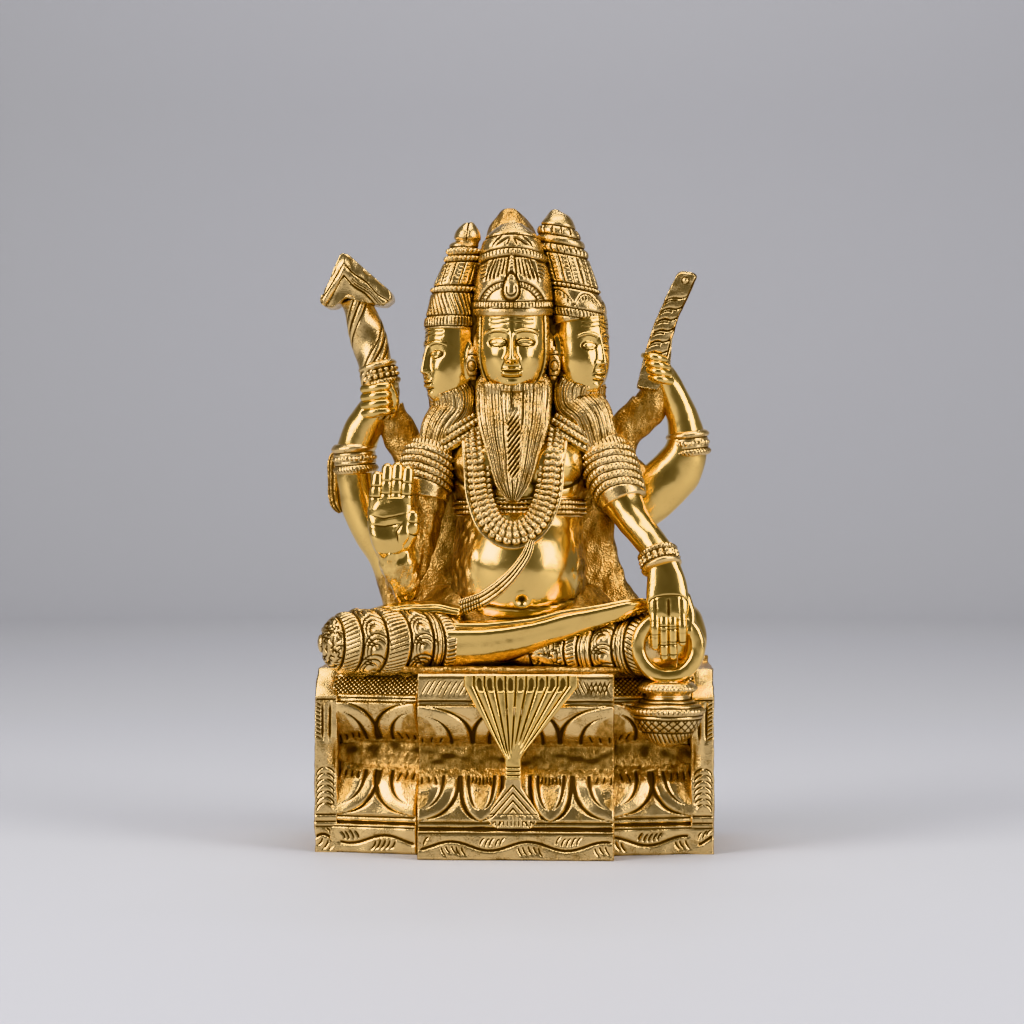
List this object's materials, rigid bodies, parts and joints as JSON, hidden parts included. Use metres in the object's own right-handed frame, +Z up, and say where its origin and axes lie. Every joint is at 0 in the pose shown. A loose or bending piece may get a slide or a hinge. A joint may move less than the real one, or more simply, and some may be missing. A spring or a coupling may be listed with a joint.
{
  "type": "seated brass deity statue",
  "caption": "Seated many-headed, many-armed brass figure on a lotus pedestal with ladle, palm-leaf book and water pot, for display on a shelf or table.",
  "frame": {"origin": "on the table, under the middle of the pedestal's width and depth", "axes": "+Z up, -Y out of the figure's face, +X to the figure's own left"},
  "size_m": [0.101, 0.054, 0.165],
  "materials": {
    "polished_brass": "buffed to a mirror",
    "chased_brass": "buffed high points with dark chased lines",
    "as_cast_brass": "rough as cast, brown patina"
  },
  "bodies": {
    "root": {"centre_block": "chased_brass", "right_flank": "chased_brass", "left_flank": "chased_brass", "right_end_wall": "as_cast_brass", "left_end_wall": "as_cast_brass", "rear_wall": "as_cast_brass", "seat_deck": "as_cast_brass", "seat_cloth": "polished_brass", "cloth_tassel": "chased_brass", "hips": "as_cast_brass", "torso": "polished_brass", "back_web": "as_cast_brass", "right_thigh": "chased_brass", "right_shin": "polished_brass", "left_thigh": "chased_brass", "left_knee": "polished_brass", "waist_sash": "polished_brass", "front_right_arm": "as_cast_brass", "front_right_hand": "polished_brass", "front_left_arm": "polished_brass", "front_left_hand": "polished_brass", "rear_right_arm": "polished_brass", "rear_right_hand": "polished_brass", "rear_left_arm": "polished_brass", "rear_left_hand": "polished_brass", "rear_right_web": "as_cast_brass", "rear_left_web": "as_cast_brass", "right_armlet": "chased_brass", "left_armlet": "chased_brass", "right_elbow_band": "chased_brass", "left_elbow_band": "chased_brass", "left_wrist_bangle": "chased_brass", "ladle_collar": "chased_brass", "ladle_shaft": "chased_brass", "ladle_head": "chased_brass", "palm_leaf_book": "chased_brass", "scarf_end": "as_cast_brass", "garland": "chased_brass", "right_collar": "chased_brass", "left_collar": "chased_brass", "chest_band": "chased_brass", "sacred_thread": "chased_brass", "front_head": "polished_brass", "right_head": "polished_brass", "left_head": "polished_brass", "rear_head": "polished_brass", "front_crown": "chased_brass", "right_crown": "chased_brass", "left_crown": "chased_brass", "rear_crown": "as_cast_brass", "front_beard": "chased_brass", "right_beard": "chased_brass", "left_beard": "chased_brass", "rear_beard": "chased_brass", "earrings": "chased_brass", "pot_body": "chased_brass", "pot_handle": "polished_brass"}
  },
  "joints": []
}
